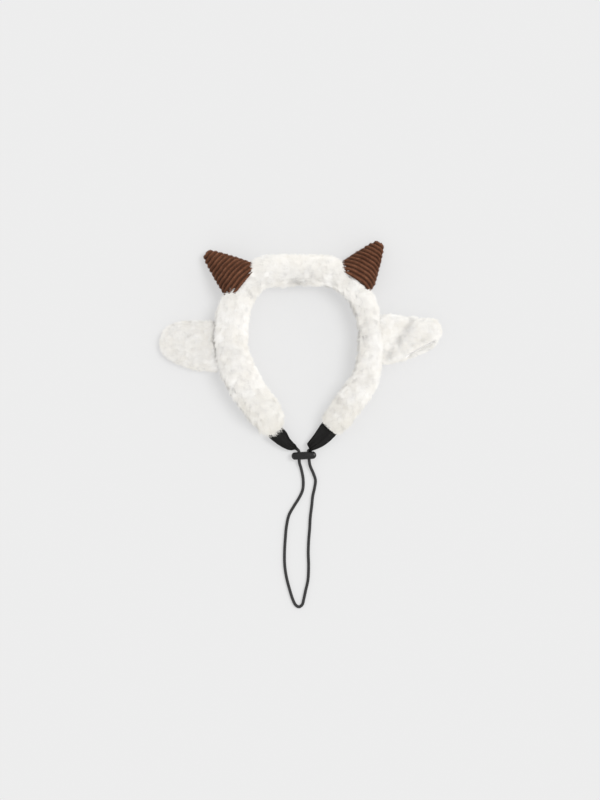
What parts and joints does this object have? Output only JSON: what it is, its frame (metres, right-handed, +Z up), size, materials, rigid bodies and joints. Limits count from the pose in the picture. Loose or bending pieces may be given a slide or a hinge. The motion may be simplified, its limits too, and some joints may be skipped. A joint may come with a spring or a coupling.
{
  "type": "horned plush pet headband",
  "caption": "Stuffed plush headband for a small pet, with ribbed corduroy horns, plush ears, ribbon tabs and an elastic chin cord with a sliding cord lock.",
  "frame": {"origin": "on the flat underside of the band, under the middle of its crown", "axes": "+X toward the viewer's right, from ear to ear; +Y toward the crown, away from the chin cord; +Z up from the surface that the headband lies on"},
  "size_m": [0.2387, 0.3096, 0.0292],
  "materials": {
    "plush": "off-white polyester plush with short curly pile",
    "corduroy": "dark brown corduroy, matt with raised wales",
    "ribbon": "black woven ribbon, slight satin sheen",
    "lock_plastic": "black moulded plastic, satin",
    "elastic": "black braided elastic cord, matt"
  },
  "bodies": {
    "root": {"band": "plush", "horn_left": "corduroy", "horn_right": "corduroy", "ear_left": "plush", "ear_right": "plush", "ribbon_left": "ribbon", "ribbon_right": "ribbon", "cord_lock": "lock_plastic", "chin_cord": "elastic"}
  },
  "joints": []
}
